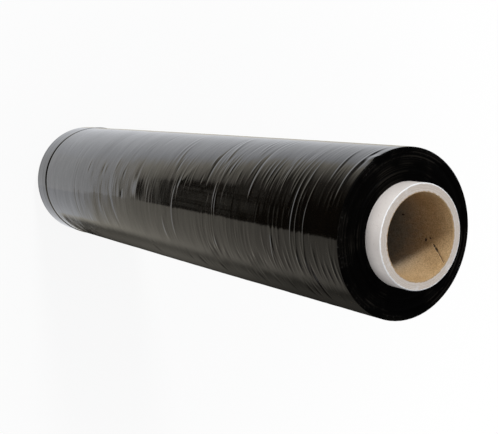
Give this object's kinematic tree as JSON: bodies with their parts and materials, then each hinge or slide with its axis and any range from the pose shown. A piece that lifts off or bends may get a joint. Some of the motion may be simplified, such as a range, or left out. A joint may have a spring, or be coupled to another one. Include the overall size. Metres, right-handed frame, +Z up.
{
  "type": "stretch wrap roll",
  "caption": "Roll of glossy black stretch film wound on a paper core that stands out at both ends, for wrapping pallets and boxes by hand or on a spindle.",
  "frame": {"origin": "centre of the lower end of the core, on the floor the roll stands on", "axes": "+Z up along the roll's axis, towards the end that is near in the picture"},
  "size_m": [0.101, 0.101, 0.474],
  "materials": {
    "core": "matt paper, pale outside and brown inside the bore",
    "film": "glossy wound film with fine wrinkles round the roll, matt on the end faces"
  },
  "bodies": {
    "root": {"core_tube": "core", "film_winding": "film"}
  },
  "joints": []
}
